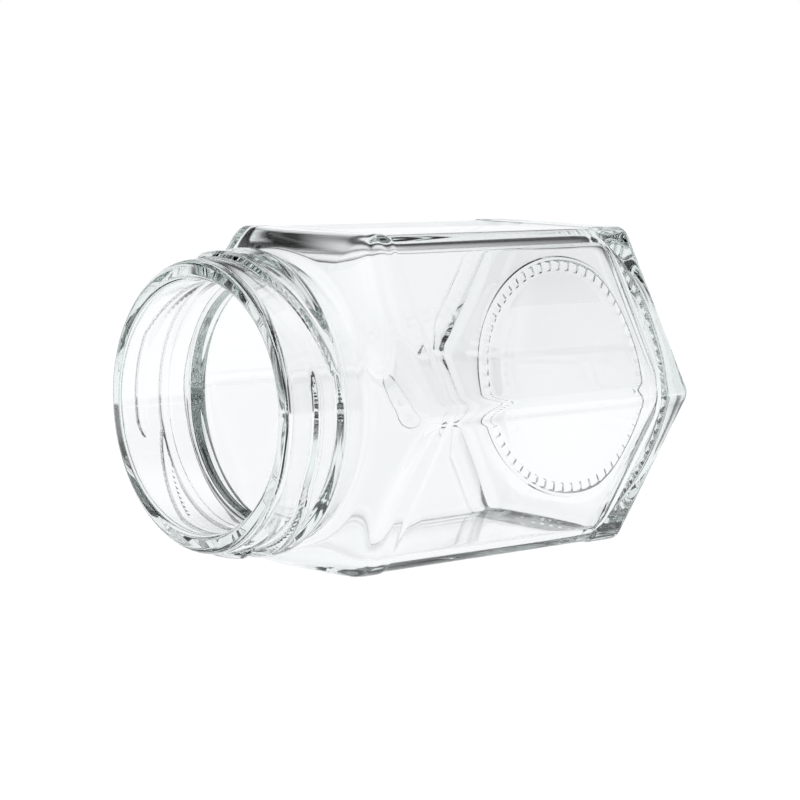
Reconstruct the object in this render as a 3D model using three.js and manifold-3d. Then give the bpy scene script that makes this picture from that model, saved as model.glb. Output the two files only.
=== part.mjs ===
// An empty clear glass jar with a six-sided body and a round twist-off neck, lying on one of its flats.
// Millimetres, +Z up. The axis of the jar lies along X, with the base at +X and the mouth at -X.
// The origin is on the surface that the jar lies on, under its middle.
// A height is counted along the axis from the base, and an angle round the axis from +Y towards +Z.

import * as THREE from "three";
import { mergeVertices } from "three/addons/utils/BufferGeometryUtils.js";
import Module from "manifold-3d";

// The whole jar
const LENGTH = 106;
const ACROSS_FLATS = 71;
const SIDES = 6;

// The body, outside
const CORNER_RADIUS = 3.5;
const HEEL_RADIUS = 2.5;
const HEEL_TOP = 10;
const PANEL_RECESS = 0.3;
const RECESS_SLOPE = 2;
const PANEL_TOP = 71.4;
const SHOULDER_START = 77.4;
const SHOULDER_BLEND = 3;

// The underside: a round push-up, and about it a low round step that carries a ring of small feet
const PUSH_UP_RADIUS = 23.8;
const PUSH_UP_DEPTH = 2.2;
const PUSH_UP_SHARES = [0.5, 0.85, 1];
const STEP_RADIUS = 26.5;
const STEP_WIDTH = 0.9;
const STEP_HEIGHT = 0.2;
const FOOT_COUNT = 54;
const FOOT_RING_RADIUS = 25.2;
const FOOT_HEIGHT = 0.25;
const FOOT_LENGTH = 2.2;
const FOOT_WIDTH = 1.6;
const FOOT_SINK = 0.15;
const FOOT_SIDES = 6;
const FOOT_LEVELS = 4;

// The shoulder and the neck, outside
const NECK_RADIUS = 30.18;
const COVE_RADIUS = 3.6;
const COVE_TOP = 88.2;
const SHOULDER_SLOPE = 0.56;
const CONE_TO_COVE = 0.4;
const BEAD_RADIUS = 32.1;
const BEAD_BELOW_RIM = 13.3;
const BEAD_HALF_WIDTH = 1.25;
const LIP_OUTER_ROUND = 1.5;
const LIP_INNER_ROUND = 1.2;

// The thread: inclined lugs, each level at first and then running down into the bead
const LUG_COUNT = 4;
const LUG_START = 70;
const LUG_LEVEL_TURN = 46;
const LUG_WHOLE_TURN = 93;
const LUG_TIP_TURN = 7;
const LUG_TIP_BLUNTNESS = 0.5;
const LUG_RISE = 1.55;
const LUG_FOOT_WIDTH = 2.6;
const LUG_CREST_WIDTH = 0.9;
const LUG_BELOW_RIM = 7;
const LUG_STEPS = 22;
const LUG_ROOT = 1;
const LUG_END_ABOVE_BEAD = 0.6;

// The inside
const BORE_RADIUS = 26;
const BORE_FLARE_RADIUS = 3;
const SIDE_WALL = 2.4;
const SHOULDER_WALL = 4.0;
const INNER_CORNER_RADIUS = 4.5;
const INNER_SHOULDER_START = 68.4;
const INNER_BLEND = 8;
const FLOOR_HEIGHT = 4.8;
const FLOOR_ROUND = 5.5;
const LEAST_CORNER = 1;

// How finely round forms are cut: angles from a corner, in degrees, within half a side
const ANGLES_FROM_CORNER = [0, 1.6, 3.8, 8, 15, 22.5];

const SAME_POINT = 1e-4;
const DEGREE = Math.PI / 180;
const SECTOR = (2 * Math.PI) / SIDES;
const HALF_WIDTH = ACROSS_FLATS / 2;

// Every angle at which an outline is cut, the same in each of the six sides.
function outlineAngles() {
  const angles = [];
  for (let side = 0; side < SIDES; side++) {
    for (const offset of ANGLES_FROM_CORNER) angles.push(side * SECTOR + offset * DEGREE);
    angles.push((side + 0.5) * SECTOR);
    for (const offset of ANGLES_FROM_CORNER.slice(1).reverse()) {
      angles.push((side + 1) * SECTOR - offset * DEGREE);
    }
  }
  return angles;
}

// Distance from the axis to a six-sided outline with rounded corners, one of them at angle 0.
function hexagonRadius(angle, apothem, corner) {
  const fromCorner = Math.abs(angle - SECTOR * Math.round(angle / SECTOR));
  const fromFlat = SECTOR / 2 - fromCorner;
  const flatHalfLength = (apothem - corner) * Math.tan(SECTOR / 2);
  if (apothem * Math.tan(fromFlat) <= flatHalfLength) return apothem / Math.cos(fromFlat);
  const arcCentre = (apothem - corner) / Math.cos(SECTOR / 2);
  const aside = arcCentre * Math.sin(fromCorner);
  return arcCentre * Math.cos(fromCorner) + Math.sqrt(corner ** 2 - aside ** 2);
}

// The smaller of two distances, with the edge between them rounded over a given width.
function blendedMinimum(a, b, width) {
  const nearness = Math.max(width - Math.abs(a - b), 0);
  return Math.min(a, b) - nearness ** 2 / (4 * width);
}

// Evenly spaced numbers, both ends included.
function spaced(from, to, count) {
  return Array.from({ length: count }, (_, i) => from + ((to - from) * i) / (count - 1));
}

// A ring is an outline at one height: round, six-sided, or a round one cut off by six sides.
const roundRing = (height, radius) => ({ height, radiusAt: () => radius });

const sidedRing = (height, apothem, corner) => ({
  height,
  radiusAt: (angle) => hexagonRadius(angle, apothem, corner),
});

const cutRing = (height, radius, apothem, corner, blend) => ({
  height,
  radiusAt: (angle) => blendedMinimum(radius, hexagonRadius(angle, apothem, corner), blend),
});

// Rings of a quarter round between a flat floor and the six sides, from the floor to the side.
function quarterRings(floorHeight, apothem, corner, round, steps) {
  return spaced(0, 90, steps).map((turn) => {
    const inward = round * (1 - Math.sin(turn * DEGREE));
    const height = floorHeight + round * (1 - Math.cos(turn * DEGREE));
    return sidedRing(height, apothem - inward, Math.max(corner - inward, LEAST_CORNER));
  });
}

// The underside, from its middle over the round step to the start of the heel.
const BASE_HEIGHT = FOOT_HEIGHT + STEP_HEIGHT;

function undersideRings() {
  const pushUp = PUSH_UP_SHARES.map((share) =>
    roundRing(FOOT_HEIGHT + PUSH_UP_DEPTH * (1 - share ** 2), PUSH_UP_RADIUS * share),
  );
  return [...pushUp, roundRing(FOOT_HEIGHT, STEP_RADIUS), roundRing(BASE_HEIGHT, STEP_RADIUS + STEP_WIDTH)];
}

// The heel, the slightly recessed panels and the band above them.
function bodyRings() {
  const heel = quarterRings(BASE_HEIGHT, HALF_WIDTH, CORNER_RADIUS, HEEL_RADIUS, 4);
  const panel = HALF_WIDTH - PANEL_RECESS;
  return [
    ...heel,
    sidedRing(HEEL_TOP, HALF_WIDTH, CORNER_RADIUS),
    sidedRing(HEEL_TOP + RECESS_SLOPE, panel, CORNER_RADIUS),
    sidedRing(PANEL_TOP, panel, CORNER_RADIUS),
    sidedRing(PANEL_TOP + RECESS_SLOPE, HALF_WIDTH, CORNER_RADIUS),
  ];
}

// The cove is a quarter-like hollow that leaves the neck straight and meets the sloping shoulder.
const SLOPE_ANGLE = Math.atan(SHOULDER_SLOPE);
const coveTurn = Math.PI / 2 - SLOPE_ANGLE;
const COVE_FOOT = {
  height: COVE_TOP - COVE_RADIUS * Math.sin(coveTurn),
  radius: NECK_RADIUS + COVE_RADIUS * (1 - Math.cos(coveTurn)),
};

// The outer shoulder: a cone that slopes down from the cove, cut off by the six sides.
function shoulderRings() {
  return spaced(SHOULDER_START, COVE_FOOT.height - CONE_TO_COVE, 9).map((height) => {
    const radius = COVE_FOOT.radius + (COVE_FOOT.height - height) / SHOULDER_SLOPE;
    return cutRing(height, radius, HALF_WIDTH, CORNER_RADIUS, SHOULDER_BLEND);
  });
}

function coveRings() {
  return spaced(coveTurn, 0, 3).map((turn) =>
    roundRing(COVE_TOP - COVE_RADIUS * Math.sin(turn), NECK_RADIUS + COVE_RADIUS * (1 - Math.cos(turn))),
  );
}

// The bead stands out of the neck as a half round.
function beadRings() {
  const middle = LENGTH - BEAD_BELOW_RIM;
  const rise = BEAD_RADIUS - NECK_RADIUS;
  return spaced(-90, 90, 6).map((turn) =>
    roundRing(
      middle + BEAD_HALF_WIDTH * Math.sin(turn * DEGREE),
      NECK_RADIUS + rise * Math.cos(turn * DEGREE) ** 0.7,
    ),
  );
}

// The lip, over the rim from the outside to the bore.
function lipRings() {
  const outer = spaced(0, 90, 4).map((turn) =>
    roundRing(
      LENGTH - LIP_OUTER_ROUND * (1 - Math.sin(turn * DEGREE)),
      NECK_RADIUS - LIP_OUTER_ROUND * (1 - Math.cos(turn * DEGREE)),
    ),
  );
  const inner = spaced(90, 0, 3).map((turn) =>
    roundRing(
      LENGTH - LIP_INNER_ROUND * (1 - Math.sin(turn * DEGREE)),
      BORE_RADIUS + LIP_INNER_ROUND * (1 - Math.cos(turn * DEGREE)),
    ),
  );
  return [...outer, ...inner];
}

// Inside, the bore turns out over a round edge into a cone that runs parallel to the shoulder.
const innerCone = (height) => {
  const outerHeight = height + SHOULDER_WALL / Math.cos(SLOPE_ANGLE);
  return COVE_FOOT.radius + (COVE_FOOT.height - outerHeight) / SHOULDER_SLOPE;
};
const INNER_APOTHEM = HALF_WIDTH - PANEL_RECESS - SIDE_WALL;

function innerShoulderRings() {
  const coneMeetsBore = COVE_FOOT.height - SHOULDER_WALL / Math.cos(SLOPE_ANGLE) +
    (COVE_FOOT.radius - BORE_RADIUS) * SHOULDER_SLOPE;
  const flareTop = coneMeetsBore + BORE_FLARE_RADIUS * Math.tan(coveTurn / 2);
  const flare = spaced(0, coveTurn, 3).map((turn) =>
    roundRing(
      flareTop - BORE_FLARE_RADIUS * Math.sin(turn),
      BORE_RADIUS + BORE_FLARE_RADIUS * (1 - Math.cos(turn)),
    ),
  );
  const flareFoot = flareTop - BORE_FLARE_RADIUS * Math.sin(coveTurn);
  const cone = spaced(flareFoot - CONE_TO_COVE, INNER_SHOULDER_START, 8).map((height) =>
    cutRing(height, innerCone(height), INNER_APOTHEM, INNER_CORNER_RADIUS, INNER_BLEND),
  );
  return [...flare, ...cone];
}

function innerFloorRings() {
  return quarterRings(FLOOR_HEIGHT, INNER_APOTHEM, INNER_CORNER_RADIUS, FLOOR_ROUND, 4).reverse();
}

// A point of the jar, from its height, its angle and its distance from the axis.
const place = (height, angle, radius) => [
  LENGTH / 2 - height,
  radius * Math.cos(angle),
  HALF_WIDTH + radius * Math.sin(angle),
];

// A closed skin over rings, with a single point at each end, facing out.
function skin(startHeight, rings, endHeight) {
  const angles = outlineAngles();
  const count = angles.length;
  const points = [place(startHeight, 0, 0)];
  for (const ring of rings) {
    for (const angle of angles) points.push(place(ring.height, angle, ring.radiusAt(angle)));
  }
  points.push(place(endHeight, 0, 0));
  const last = points.length - 1;
  const at = (ring, step) => 1 + ring * count + (step % count);
  const faces = [];
  for (let step = 0; step < count; step++) {
    faces.push([0, at(0, step), at(0, step + 1)]);
    faces.push([last, at(rings.length - 1, step + 1), at(rings.length - 1, step)]);
    for (let ring = 0; ring + 1 < rings.length; ring++) {
      faces.push([at(ring, step), at(ring + 1, step), at(ring, step + 1)]);
      faces.push([at(ring, step + 1), at(ring + 1, step), at(ring + 1, step + 1)]);
    }
  }
  return closedGeometry(points.flat(), faces.flat());
}

function closedGeometry(positions, indices) {
  const geometry = new THREE.BufferGeometry();
  geometry.setAttribute("position", new THREE.BufferAttribute(new Float32Array(positions), 3));
  geometry.setIndex(new THREE.BufferAttribute(new Uint32Array(indices), 1));
  return geometry;
}

// One lug of the thread: a ridge carried along its path, thin at its tip, ending inside the bead.
function lug(startAngle) {
  const endBelowRim = BEAD_BELOW_RIM - LUG_END_ABOVE_BEAD;
  const positions = [];
  for (const turn of spaced(0, LUG_WHOLE_TURN, LUG_STEPS)) {
    const fallen = Math.max(turn - LUG_LEVEL_TURN, 0) / (LUG_WHOLE_TURN - LUG_LEVEL_TURN);
    const height = LENGTH - LUG_BELOW_RIM - (endBelowRim - LUG_BELOW_RIM) * fallen;
    const swell = Math.sqrt(Math.min((turn + LUG_TIP_BLUNTNESS) / LUG_TIP_TURN, 1));
    const crest = NECK_RADIUS + LUG_RISE * swell;
    const footHalf = (LUG_FOOT_WIDTH / 2) * swell;
    const crestHalf = (LUG_CREST_WIDTH / 2) * swell;
    const outline = [
      [NECK_RADIUS - LUG_ROOT, footHalf],
      [NECK_RADIUS, footHalf],
      [crest, crestHalf],
      [crest, -crestHalf],
      [NECK_RADIUS, -footHalf],
      [NECK_RADIUS - LUG_ROOT, -footHalf],
    ];
    for (const [radius, along] of outline) {
      positions.push(...place(height + along, (startAngle + turn) * DEGREE, radius));
    }
  }
  const corners = 6;
  const indices = [];
  for (let step = 0; step + 1 < LUG_STEPS; step++) {
    for (let corner = 0; corner < corners; corner++) {
      const here = step * corners + corner;
      const next = step * corners + ((corner + 1) % corners);
      indices.push(here, here + corners, next, next, here + corners, next + corners);
    }
  }
  const end = (LUG_STEPS - 1) * corners;
  for (let corner = 1; corner + 1 < corners; corner++) {
    indices.push(0, corner, corner + 1);
    indices.push(end, end + corner + 1, end + corner);
  }
  return closedGeometry(positions, indices);
}

// One foot of the ring under the base: a small rounded pad, longer along the radius than across it.
function foot(angle) {
  const geometry = new THREE.SphereGeometry(1, FOOT_SIDES, FOOT_LEVELS);
  const proud = FOOT_HEIGHT + FOOT_SINK;
  geometry.scale(proud, FOOT_LENGTH / 2, FOOT_WIDTH / 2);
  geometry.translate(0, FOOT_RING_RADIUS, 0);
  geometry.rotateX(angle);
  geometry.translate(LENGTH / 2 - proud, 0, HALF_WIDTH);
  geometry.deleteAttribute("normal");
  geometry.deleteAttribute("uv");
  return mergeVertices(geometry, SAME_POINT);
}

const wasm = await Module();
wasm.setup();

function solidOf(geometry) {
  const vertProperties = geometry.getAttribute("position").array;
  const triVerts = new Uint32Array(geometry.index.array);
  return new wasm.Manifold(new wasm.Mesh({ numProp: 3, vertProperties, triVerts }));
}

function geometryOf(solid) {
  const mesh = solid.getMesh();
  const geometry = closedGeometry(mesh.vertProperties, mesh.triVerts);
  geometry.computeVertexNormals();
  return geometry;
}

function jarGeometry() {
  const rings = [
    ...undersideRings(),
    ...bodyRings(),
    ...shoulderRings(),
    ...coveRings(),
    ...beadRings(),
    ...lipRings(),
    ...innerShoulderRings(),
    ...innerFloorRings(),
  ];
  let solid = solidOf(skin(FOOT_HEIGHT + PUSH_UP_DEPTH, rings, FLOOR_HEIGHT));
  for (let i = 0; i < LUG_COUNT; i++) {
    solid = solid.add(solidOf(lug(LUG_START + (360 / LUG_COUNT) * i)));
  }
  for (let i = 0; i < FOOT_COUNT; i++) {
    solid = solid.add(solidOf(foot(((2 * Math.PI) / FOOT_COUNT) * i)));
  }
  return geometryOf(solid);
}

const clearGlass = new THREE.MeshStandardMaterial({
  color: 0xdbe7e3,
  roughness: 0.04,
  metalness: 0,
  transparent: true,
  opacity: 0.35,
});

const jar = new THREE.Mesh(jarGeometry(), clearGlass);
jar.name = "jar";

const group = new THREE.Group();
group.add(jar);
export default group;
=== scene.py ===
import bpy
import numpy as np
from mathutils import Matrix, Vector


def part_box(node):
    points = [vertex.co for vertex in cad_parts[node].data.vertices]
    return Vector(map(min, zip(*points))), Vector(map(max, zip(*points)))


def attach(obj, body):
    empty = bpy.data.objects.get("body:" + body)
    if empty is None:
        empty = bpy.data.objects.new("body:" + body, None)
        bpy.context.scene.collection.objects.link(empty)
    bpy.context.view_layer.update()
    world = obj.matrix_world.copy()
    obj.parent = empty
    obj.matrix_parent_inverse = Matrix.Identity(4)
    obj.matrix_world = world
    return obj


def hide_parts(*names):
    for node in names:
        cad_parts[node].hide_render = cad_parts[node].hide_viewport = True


# The frame
# One body holds one glass solid, which lies on a flat with its mouth towards -X. Sizes below are in
# millimetres and are turned into metres where a piece is placed.
MM = 0.001
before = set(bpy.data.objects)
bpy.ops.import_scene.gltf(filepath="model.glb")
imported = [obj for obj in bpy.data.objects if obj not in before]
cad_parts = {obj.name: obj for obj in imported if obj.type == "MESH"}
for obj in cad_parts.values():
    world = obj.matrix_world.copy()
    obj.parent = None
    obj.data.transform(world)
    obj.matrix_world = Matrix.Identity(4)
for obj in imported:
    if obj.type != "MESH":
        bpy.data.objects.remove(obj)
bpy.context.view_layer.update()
jar_low, jar_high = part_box("jar")
LENGTH = (jar_high.x - jar_low.x) / MM
ACROSS_FLATS = (jar_high.z - jar_low.z) / MM

# The camera
# A long lens, low and to the mouth's side of the jar, where the photograph was taken from. It leans
# by a degree, as the photograph does.
CAMERA_PLACE = (-353.27, -398.06, 98.73)
CAMERA_AZIMUTH = -41.801
CAMERA_ELEVATION = 6.999
CAMERA_ROLL = 0.933
LENS = 110.86
SENSOR = 36.0
NEAREST_SEEN = 10.0

lens_data = bpy.data.cameras.new("camera")
lens_data.sensor_width = SENSOR
lens_data.lens = LENS
lens_data.clip_start = NEAREST_SEEN * MM
camera = bpy.data.objects.new("camera", lens_data)
bpy.context.scene.collection.objects.link(camera)
turn, rise, roll = np.radians([CAMERA_AZIMUTH, CAMERA_ELEVATION, CAMERA_ROLL])
back = np.array([np.sin(turn) * np.cos(rise), -np.cos(turn) * np.cos(rise), np.sin(rise)])
level = np.cross([0.0, 0.0, 1.0], back)
level /= np.linalg.norm(level)
upright = np.cross(back, level)
right = level * np.cos(roll) + upright * np.sin(roll)
up = upright * np.cos(roll) - level * np.sin(roll)
axes = Matrix(np.column_stack([right, up, back]).tolist()).to_4x4()
camera.matrix_world = Matrix.Translation(Vector(CAMERA_PLACE) * MM) @ axes
bpy.context.scene.camera = camera
bpy.context.scene.view_settings.view_transform = "Standard"

# The paths of light
# Light crosses many faces of glass before it leaves the jar, so its paths have to be long. With short
# ones the edges turn black.
PATH_LENGTH = 20

cycles = bpy.context.scene.cycles
cycles.max_bounces = PATH_LENGTH
cycles.transmission_bounces = PATH_LENGTH
cycles.glossy_bounces = PATH_LENGTH

# The light
# A white studio. Light comes from the lower part of the walls behind and facing the jar and from
# overhead. The sides and the belt between are dark, so the glass has grey edges; the camera sees white.
WHITE = (1.0, 1.0, 1.0, 1.0)
COOL_WHITE = (0.975, 0.99, 1.0, 1.0)
SIDE_GLOW = 0.06
BELT_GLOW = 0.03
TOP_GLOW = 0.85
LINE_OF_SIGHT = (-back[0], -back[1], 0.0)

# Cosines of the angle to the line of sight, where the dark sides end and the full walls start
SIDES_END = 0.25
WALLS_START = 0.7

# Sines of the height above the horizon, where the walls, the belt and the top end and start
WALLS_END = 0.2
BELT_START = 0.42
BELT_END = 0.6
TOP_START = 0.85


def smooth_range(tree, low, high, below, above):
    """A smooth ramp: one value below the low end of a range, and another above its high end."""
    ramp = tree.nodes.new("ShaderNodeMapRange")
    ramp.interpolation_type = "SMOOTHSTEP"
    ramp.inputs["From Min"].default_value = low
    ramp.inputs["From Max"].default_value = high
    ramp.inputs["To Min"].default_value = below
    ramp.inputs["To Max"].default_value = above
    return ramp


def worked_out(tree, operation, first, second):
    """The value of an operation on two other values."""
    made = tree.nodes.new("ShaderNodeMath")
    made.operation = operation
    tree.links.new(first, made.inputs[0])
    tree.links.new(second, made.inputs[1])
    return made.outputs["Value"]


def wall_glow(tree, direction):
    """The glow of the walls in a direction, by the cosine of its angle to the line of sight: full
    behind the jar and facing it, and dark at the sides."""
    flat = tree.nodes.new("ShaderNodeVectorMath")
    flat.operation = "MULTIPLY"
    flat.inputs[1].default_value = (1.0, 1.0, 0.0)
    unit = tree.nodes.new("ShaderNodeVectorMath")
    unit.operation = "NORMALIZE"
    cosine = tree.nodes.new("ShaderNodeVectorMath")
    cosine.operation = "DOT_PRODUCT"
    cosine.inputs[1].default_value = LINE_OF_SIGHT
    either_way = tree.nodes.new("ShaderNodeMath")
    either_way.operation = "ABSOLUTE"
    spread = smooth_range(tree, SIDES_END, WALLS_START, SIDE_GLOW, 1.0)
    tree.links.new(direction, flat.inputs[0])
    tree.links.new(flat.outputs["Vector"], unit.inputs[0])
    tree.links.new(unit.outputs["Vector"], cosine.inputs[0])
    tree.links.new(cosine.outputs["Value"], either_way.inputs[0])
    tree.links.new(either_way.outputs["Value"], spread.inputs["Value"])
    return spread.outputs["Result"]


def cool_tint(tree, to_camera):
    """White straight to the camera, and a slightly cool white for the light that the glass picks up."""
    blend = tree.nodes.new("ShaderNodeMix")
    blend.data_type = "RGBA"
    blend.inputs["A"].default_value = COOL_WHITE
    blend.inputs["B"].default_value = WHITE
    tree.links.new(to_camera, blend.inputs["Factor"])
    return blend.outputs["Result"]


world = bpy.data.worlds.new("studio")
bpy.context.scene.world = world
world.use_nodes = True
sky = world.node_tree
sky.nodes.clear()
sky_out = sky.nodes.new("ShaderNodeOutputWorld")
studio = sky.nodes.new("ShaderNodeBackground")
sky_path = sky.nodes.new("ShaderNodeLightPath")
sky_place = sky.nodes.new("ShaderNodeTexCoord")
split = sky.nodes.new("ShaderNodeSeparateXYZ")
rising = smooth_range(sky, WALLS_END, BELT_START, 1.0, BELT_GLOW)
overhead = smooth_range(sky, BELT_END, TOP_START, 0.0, TOP_GLOW)
direction = sky_place.outputs["Generated"]
sky_to_camera = sky_path.outputs["Is Camera Ray"]
sky.links.new(direction, split.inputs["Vector"])
sky.links.new(split.outputs["Z"], rising.inputs["Value"])
sky.links.new(split.outputs["Z"], overhead.inputs["Value"])
walls = worked_out(sky, "MULTIPLY", wall_glow(sky, direction), rising.outputs["Result"])
lit = worked_out(sky, "ADD", walls, overhead.outputs["Result"])
sky.links.new(worked_out(sky, "MAXIMUM", lit, sky_to_camera), studio.inputs["Strength"])
sky.links.new(cool_tint(sky, sky_to_camera), studio.inputs["Color"])
sky.links.new(studio.outputs["Background"], sky_out.inputs["Surface"])

# The floor
# A plain white sheet under the jar, in metres. It glows evenly under the jar and like the walls farther
# out, so it is white to the horizon, and it gives back little light of its own.
FLOOR_HALF = 30.0
FLOOR_DROP = 0.0002
FLOOR_GLOW = 1.0
POOL_INNER = 0.5
POOL_OUTER = 1.1
PAPER_GREY = (0.1, 0.1, 0.1, 1.0)

floor_corners = [(-FLOOR_HALF, -FLOOR_HALF, -FLOOR_DROP), (FLOOR_HALF, -FLOOR_HALF, -FLOOR_DROP),
                 (FLOOR_HALF, FLOOR_HALF, -FLOOR_DROP), (-FLOOR_HALF, FLOOR_HALF, -FLOOR_DROP)]
floor_mesh = bpy.data.meshes.new("floor")
floor_mesh.from_pydata(floor_corners, [], [(0, 1, 2, 3)])
floor = bpy.data.objects.new("floor", floor_mesh)
bpy.context.scene.collection.objects.link(floor)
paper = bpy.data.materials.new("white_paper")
paper.use_nodes = True
sheet = paper.node_tree
paper_shader = sheet.nodes["Principled BSDF"]
paper_shader.inputs["Base Color"].default_value = PAPER_GREY
paper_shader.inputs["Roughness"].default_value = 1.0
paper_shader.inputs["Specular IOR Level"].default_value = 0.0
sheet_path = sheet.nodes.new("ShaderNodeLightPath")
sheet_place = sheet.nodes.new("ShaderNodeTexCoord")
distance = sheet.nodes.new("ShaderNodeVectorMath")
distance.operation = "LENGTH"
fade = smooth_range(sheet, POOL_INNER, POOL_OUTER, FLOOR_GLOW, FLOOR_GLOW)
from_jar = sheet_place.outputs["Object"]
sheet_to_camera = sheet_path.outputs["Is Camera Ray"]
sheet.links.new(from_jar, distance.inputs[0])
sheet.links.new(distance.outputs["Value"], fade.inputs["Value"])
sheet.links.new(wall_glow(sheet, from_jar), fade.inputs["To Max"])
sheet_glow = worked_out(sheet, "MAXIMUM", sheet_to_camera, fade.outputs["Result"])
sheet.links.new(sheet_glow, paper_shader.inputs["Emission Strength"])
sheet.links.new(cool_tint(sheet, sheet_to_camera), paper_shader.inputs["Emission Color"])
floor_mesh.materials.append(paper)

# The jar
# One piece of clear pressed and blown glass: a body with six flat sides, a sloping shoulder, and a
# round neck with a lip, four inclined lugs and a bead below them. Moulded in one go, so it has no joint.
CORNER_RADIUS = 3.5
LEAST_CORNER = 1.0
HEEL_RADIUS = 3.0
HEEL_TOP = 10.0
PANEL_RECESS = 0.3
RECESS_SLOPE = 2.0
PANEL_TOP = 71.4
SHOULDER_SLOPE = 0.56
SHOULDER_BLEND = 4.0
PUSH_UP_RADIUS = 23.8
PUSH_UP_DEPTH = 2.2
FOOT_COUNT = 54
FOOT_RING_RADIUS = 25.2
FOOT_HEIGHT = 0.35
FOOT_LENGTH = 2.2
FOOT_WIDTH = 1.6
STEP_RADIUS = 26.5
STEP_WIDTH = 0.9
STEP_DROP = 0.1
GROOVE_RADIUS = 26.9
GROOVE_HALF_WIDTH = 0.8
GROOVE_DEPTH = 0.4
NECK_RADIUS = 30.18
COVE_RADIUS = 3.6
COVE_TOP = 88.2
BEAD_RISE = 1.95
BEAD_BELOW_RIM = 13.3
BEAD_HALF_WIDTH = 1.3
BEAD_BLUNTNESS = 0.35
LIP_OUTER_ROUND = 1.5
LUG_COUNT = 4
LUG_START = 70.0
LUG_LEVEL_TURN = 46.0
LUG_WHOLE_TURN = 93.0
LUG_TIP_TURN = 7.0
LUG_TIP_LEAST = 0.01
LUG_RISE = 1.55
LUG_HALF_WIDTH = 1.2
LUG_BROADNESS = 2.5
LUG_BLUNTNESS = 0.6
LUG_BELOW_RIM = 7.0
LUG_END_ABOVE_BEAD = 0.6

# The inside, whose walls grow towards the shoulder and are hollow in the middle, as blown glass is
LIP_INNER_ROUND = 1.2
BORE_RADIUS = 26.0
BORE_FLARE_RADIUS = 3.0
SIDE_WALL = 2.4
WALL_GAIN = 0.2
WALL_GAIN_FROM = 8.0
WALL_GAIN_TO = 60.0
WALL_GAIN_LIMIT = 1.2
PANEL_HOLLOW = 0.2
SHOULDER_WALL = 4.2
INNER_BLEND = 8.0
INNER_CORNER_RADIUS = 4.5
FLOOR_HEIGHT = 4.8
FLOOR_ROUND = 5.0
FLOOR_CORNER_EASE = 0.7

# The rows of points on each stretch of the outline, and the small gaps between two stretches
ROUND_STEPS = 432
PUSH_UP_ROWS = 14
PUSH_UP_START = 0.02
FEET_ROWS = 20
HEEL_ROWS = 11
SLOPE_ROWS = 5
PANEL_ROWS = 6
PANEL_MIDDLE_FROM = 15.0
PANEL_MIDDLE_TO = 68.0
SHOULDER_ROWS = 28
SHOULDER_GAP = 0.4
CURVE_ROWS = 8
CURVE_GAP = 0.15
NECK_ROWS = 47
ROW_GAP = 0.2
INNER_LIP_ROWS = 7
FLARE_GAP = 0.3
INNER_SHOULDER_ROWS = 24
INNER_SHOULDER_GAP = 1.0
INNER_WALL_ROWS = 14
INNER_WALL_GAP = 2.0
FLOOR_MIDDLE_ROWS = 10
FLOOR_GAP = 0.6
FLOOR_MIDDLE_RADIUS = 0.5
FAR_AWAY = 1000.0

half_width = ACROSS_FLATS / 2
inner_half_width = half_width - PANEL_RECESS - SIDE_WALL
slope_angle = np.arctan(SHOULDER_SLOPE)
cove_turn = np.pi / 2 - slope_angle
cove_foot_height = COVE_TOP - COVE_RADIUS * np.sin(cove_turn)
cove_foot_radius = NECK_RADIUS + COVE_RADIUS * (1 - np.cos(cove_turn))


def stations(height, turned=FAR_AWAY, apothem=FAR_AWAY, corner=CORNER_RADIUS):
    """Rows of height, radius of the round form, half width of the six-sided form and its corner radius."""
    return np.stack(np.broadcast_arrays(height, turned, apothem, corner), axis=-1).astype(float)


def hexagon_radius(angle, apothem, corner):
    """Distance from the axis to a hexagon with round corners: the flat's distance over the cosine, or,
    near a corner, the far side of a circle of the corner's radius."""
    sixth = np.pi / 3
    from_corner = np.abs(angle - sixth * np.round(angle / sixth))
    flat = apothem / np.cos(sixth / 2 - from_corner)
    centre = (apothem - corner) / np.cos(sixth / 2)
    aside = centre * np.sin(from_corner)
    arc = centre * np.cos(from_corner) + np.sqrt(np.maximum(corner**2 - aside**2, 0.0))
    on_flat = apothem * np.tan(sixth / 2 - from_corner) <= (apothem - corner) * np.tan(sixth / 2)
    return np.where(on_flat, flat, arc)


def blended_minimum(a, b, width):
    """The smaller of two distances, less a quarter of the squared overlap of a band of that width."""
    nearness = np.maximum(width - np.abs(a - b), 0.0)
    return np.minimum(a, b) - nearness**2 / (4 * width)


def smooth_step(x):
    """0 below 0, 1 above 1, and a cubic between."""
    x = np.clip(x, 0.0, 1.0)
    return x * x * (3 - 2 * x)


def heel_stations():
    """A quarter circle from the flat underside up into the six sides."""
    t = np.linspace(0, np.pi / 2, HEEL_ROWS)
    inward = HEEL_RADIUS * (1 - np.sin(t))
    height = FOOT_HEIGHT + STEP_DROP + HEEL_RADIUS * (1 - np.cos(t))
    return stations(height, FAR_AWAY, half_width - inward, np.maximum(CORNER_RADIUS - inward, LEAST_CORNER))


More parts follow.
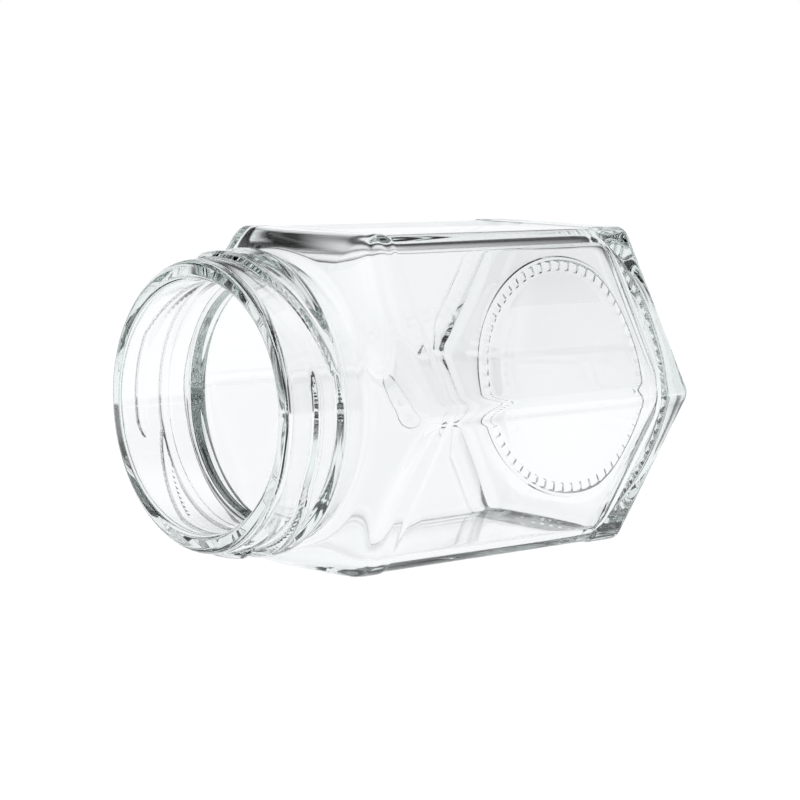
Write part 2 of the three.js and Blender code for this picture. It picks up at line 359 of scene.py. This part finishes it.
def outer_stations():
    """The outside, from the middle of the underside over the heel, sides, shoulder and neck to the rim.
    The push-up is a parabola, and the groove round the feet a bell of the fourth power."""
    share = np.linspace(PUSH_UP_START, 1, PUSH_UP_ROWS)
    push_up = stations(FOOT_HEIGHT + PUSH_UP_DEPTH * (1 - share**2), PUSH_UP_RADIUS * share)
    ring = np.linspace(PUSH_UP_RADIUS + ROW_GAP, GROOVE_RADIUS + GROOVE_HALF_WIDTH, FEET_ROWS)
    across = np.clip((ring - GROOVE_RADIUS) / GROOVE_HALF_WIDTH, -1, 1)
    groove = GROOVE_DEPTH * (1 - across**2) ** 2
    step = STEP_DROP * smooth_step((ring - STEP_RADIUS) / STEP_WIDTH)
    feet_band = stations(FOOT_HEIGHT + step + groove, ring)
    panel_height = np.concatenate([
        np.linspace(HEEL_TOP, HEEL_TOP + RECESS_SLOPE, SLOPE_ROWS),
        np.linspace(PANEL_MIDDLE_FROM, PANEL_MIDDLE_TO, PANEL_ROWS),
        np.linspace(PANEL_TOP, PANEL_TOP + RECESS_SLOPE, SLOPE_ROWS)])
    recess = smooth_step((panel_height - HEEL_TOP) / RECESS_SLOPE)
    recess = recess - smooth_step((panel_height - PANEL_TOP) / RECESS_SLOPE)
    panels = stations(panel_height, FAR_AWAY, half_width - PANEL_RECESS * recess)
    shoulder_foot = PANEL_TOP + RECESS_SLOPE + SHOULDER_GAP
    height = np.linspace(shoulder_foot, cove_foot_height - CURVE_GAP, SHOULDER_ROWS)
    cone = cove_foot_radius + (cove_foot_height - height) / SHOULDER_SLOPE
    shoulder = stations(height, cone, half_width)
    t = np.linspace(cove_turn, 0, CURVE_ROWS)
    cove = stations(COVE_TOP - COVE_RADIUS * np.sin(t), NECK_RADIUS + COVE_RADIUS * (1 - np.cos(t)))
    neck_top = LENGTH - LIP_OUTER_ROUND - ROW_GAP
    neck = stations(np.linspace(COVE_TOP + ROW_GAP, neck_top, NECK_ROWS), NECK_RADIUS)
    t = np.linspace(0, np.pi / 2, CURVE_ROWS)
    lip_radius = NECK_RADIUS - LIP_OUTER_ROUND * (1 - np.cos(t))
    lip = stations(LENGTH - LIP_OUTER_ROUND * (1 - np.sin(t)), lip_radius)
    return np.concatenate([push_up, feet_band, heel_stations(), panels, shoulder, cove, neck, lip])


def wall_gain(height):
    """How much thicker the wall grows above the lower part of the body: the square of the height."""
    share = np.clip((height - WALL_GAIN_FROM) / (WALL_GAIN_TO - WALL_GAIN_FROM), 0, WALL_GAIN_LIMIT)
    return WALL_GAIN * share**2


def floor_round_stations():
    """A quarter circle from the inner wall down to the floor, on which the six sides turn into a round:
    their corner radius grows by a power of the way down."""
    t = np.linspace(np.pi / 2, 0, INNER_WALL_ROWS)
    down = 1 - np.sin(t)
    corner_gain = inner_half_width - FLOOR_ROUND - INNER_CORNER_RADIUS
    corner = INNER_CORNER_RADIUS + corner_gain * down**FLOOR_CORNER_EASE
    height = FLOOR_HEIGHT + FLOOR_ROUND * (1 - np.cos(t))
    return stations(height, FAR_AWAY, inner_half_width - FLOOR_ROUND * down, corner)


def inner_stations():
    """The inside, from the rim down the bore, over the flare and the shoulder, to the middle of the floor."""
    t = np.linspace(np.pi / 2, 0, INNER_LIP_ROWS)
    lip_radius = BORE_RADIUS + LIP_INNER_ROUND * (1 - np.cos(t))
    lip = stations(LENGTH - LIP_INNER_ROUND * (1 - np.sin(t)), lip_radius)
    drop = SHOULDER_WALL / np.cos(slope_angle)
    cone_meets_bore = cove_foot_height - drop + (cove_foot_radius - BORE_RADIUS) * SHOULDER_SLOPE
    flare_top = cone_meets_bore + BORE_FLARE_RADIUS * np.tan(cove_turn / 2)
    t = np.linspace(0, cove_turn, CURVE_ROWS)
    flare_height = flare_top - BORE_FLARE_RADIUS * np.sin(t)
    flare = stations(flare_height, BORE_RADIUS + BORE_FLARE_RADIUS * (1 - np.cos(t)))
    shoulder_top = flare_height[-1] - FLARE_GAP
    height = np.linspace(shoulder_top, PANEL_TOP + INNER_SHOULDER_GAP, INNER_SHOULDER_ROWS)
    cone = cove_foot_radius + (cove_foot_height - height - drop) / SHOULDER_SLOPE
    shoulder = stations(height, cone, inner_half_width - wall_gain(height), INNER_CORNER_RADIUS)
    wall_foot = FLOOR_HEIGHT + FLOOR_ROUND + INNER_WALL_GAP
    height = np.linspace(PANEL_TOP - INNER_WALL_GAP, wall_foot, INNER_WALL_ROWS)
    wall = stations(height, FAR_AWAY, inner_half_width - wall_gain(height), INNER_CORNER_RADIUS)
    floor_edge = inner_half_width - FLOOR_ROUND - FLOOR_GAP
    middle = stations(FLOOR_HEIGHT, np.linspace(floor_edge, FLOOR_MIDDLE_RADIUS, FLOOR_MIDDLE_ROWS))
    return np.concatenate([lip, flare, shoulder, wall, floor_round_stations(), middle])


def thread_rise(below_rim, degrees):
    """How far the neck stands out at a depth below the rim and an angle: a blunt bead all round, or the
    lugs, each level for half of its turn and then falling evenly into the bead."""
    across = np.clip((below_rim - BEAD_BELOW_RIM) / BEAD_HALF_WIDTH, -1, 1)
    rise = BEAD_RISE * (1 - across**2) ** BEAD_BLUNTNESS * (np.abs(across) < 1)
    along = np.mod(degrees - LUG_START, 360 / LUG_COUNT)
    for lugs_passed in (0, 1):
        turned = along + lugs_passed * 360 / LUG_COUNT
        fallen = np.clip((turned - LUG_LEVEL_TURN) / (LUG_WHOLE_TURN - LUG_LEVEL_TURN), 0, 1)
        middle = LUG_BELOW_RIM + (BEAD_BELOW_RIM - LUG_END_ABOVE_BEAD - LUG_BELOW_RIM) * fallen
        swell = np.sqrt(np.clip(turned / LUG_TIP_TURN, LUG_TIP_LEAST, 1))
        side = np.clip((below_rim - middle) / (LUG_HALF_WIDTH * swell), -1, 1)
        profile = (1 - np.abs(side) ** LUG_BROADNESS) ** LUG_BLUNTNESS
        rise = np.maximum(rise, LUG_RISE * swell * profile * (turned <= LUG_WHOLE_TURN))
    return rise


def foot_rise(radius, angle):
    """How far the underside stands out at a radius and an angle: short ridges, evenly spread on a ring,
    round across and blunt at their ends."""
    pitch = 2 * np.pi / FOOT_COUNT
    aside = (np.mod(angle + pitch / 2, pitch) - pitch / 2) * radius / (FOOT_WIDTH / 2)
    along = (radius - FOOT_RING_RADIUS) / (FOOT_LENGTH / 2)
    return FOOT_HEIGHT * np.sqrt(np.maximum(1 - aside**2, 0.0) * np.maximum(1 - along**4, 0.0))


def panel_hollow(height, apothem, angle):
    """How far the inner wall is hollowed out above the floor's round: most in the middle of a flat, and
    less by the square of the way to its corner."""
    sixth = np.pi / 3
    from_middle = np.mod(angle, sixth) - sixth / 2
    share = np.tan(from_middle) / np.tan(sixth / 2)
    on_wall = (apothem < FAR_AWAY) & (height > FLOOR_HEIGHT + FLOOR_ROUND)
    return PANEL_HOLLOW * on_wall * np.maximum(1 - share**2, 0)


def skin_faces(row_count):
    """Squares between neighbouring rows of points, and at each end a fan to a point on the axis."""
    step = np.arange(ROUND_STEPS)
    following = (step + 1) % ROUND_STEPS
    row = np.arange(row_count - 1)[:, None] * ROUND_STEPS
    next_row = row + ROUND_STEPS
    squares = np.stack([row + step, next_row + step, next_row + following, row + following], -1)
    last_row = (row_count - 1) * ROUND_STEPS
    first_tip = row_count * ROUND_STEPS
    first_fan = np.stack([np.full_like(step, first_tip), step, following], -1)
    last_fan = np.stack([np.full_like(step, first_tip + 1), last_row + following, last_row + step], -1)
    return squares.reshape(-1, 4).tolist() + first_fan.tolist() + last_fan.tolist()


def jar_points():
    """The points of a closed skin: every station is a ring, whose radius is the blended smaller one of its
    round form and its six-sided form, with the lugs and the feet standing out of it. Two points on the
    axis end the list. With them comes the number of rings."""
    outer = outer_stations()
    rows = np.concatenate([outer, inner_stations()])
    angle = (np.arange(ROUND_STEPS) * 2 * np.pi / ROUND_STEPS)[None, :]
    height, turned, apothem, corner = (rows[:, i, None] for i in range(4))
    row = np.arange(len(rows))[:, None]
    inside = row >= len(outer)
    underneath = row < PUSH_UP_ROWS + FEET_ROWS
    sided = hexagon_radius(angle, apothem, corner) + inside * panel_hollow(height, apothem, angle)
    radius = blended_minimum(turned, sided, np.where(inside, INNER_BLEND, SHOULDER_BLEND))
    on_neck = ~inside & (height > COVE_TOP)
    radius = radius + on_neck * thread_rise(LENGTH - height, np.degrees(angle))
    height = height - underneath * foot_rise(radius, angle)
    x = LENGTH / 2 - height
    y = radius * np.cos(angle)
    z = half_width + radius * np.sin(angle)
    rings = np.stack([x, y, z], axis=-1).reshape(-1, 3)
    under_tip = [LENGTH / 2 - FOOT_HEIGHT - PUSH_UP_DEPTH, 0, half_width]
    floor_tip = [LENGTH / 2 - FLOOR_HEIGHT, 0, half_width]
    return np.vstack([rings, under_tip, floor_tip]) * MM, len(rows)


points, row_count = jar_points()
jar_mesh = bpy.data.meshes.new("glass_jar")
jar_mesh.from_pydata(points.tolist(), [], skin_faces(row_count))
jar_mesh.shade_smooth()
jar = bpy.data.objects.new("glass_jar", jar_mesh)
bpy.context.scene.collection.objects.link(jar)

# Clear soda-lime glass, which takes a little light on the way through, and red the most
GLASS_IOR = 1.51
GLASS_TINT = (0.3, 0.44, 0.4, 1.0)
TINT_DENSITY = 8.0

glass = bpy.data.materials.new("clear_glass")
glass.use_nodes = True
glass_shader = glass.node_tree.nodes["Principled BSDF"]
glass_shader.inputs["Base Color"].default_value = WHITE
glass_shader.inputs["Metallic"].default_value = 0.0
glass_shader.inputs["Roughness"].default_value = 0.0
glass_shader.inputs["IOR"].default_value = GLASS_IOR
glass_shader.inputs["Transmission Weight"].default_value = 1.0
tint = glass.node_tree.nodes.new("ShaderNodeVolumeAbsorption")
tint.inputs["Color"].default_value = GLASS_TINT
tint.inputs["Density"].default_value = TINT_DENSITY
glass_out = glass.node_tree.nodes["Material Output"]
glass.node_tree.links.new(tint.outputs["Volume"], glass_out.inputs["Volume"])
jar_mesh.materials.append(glass)
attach(jar, "root")
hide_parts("jar")
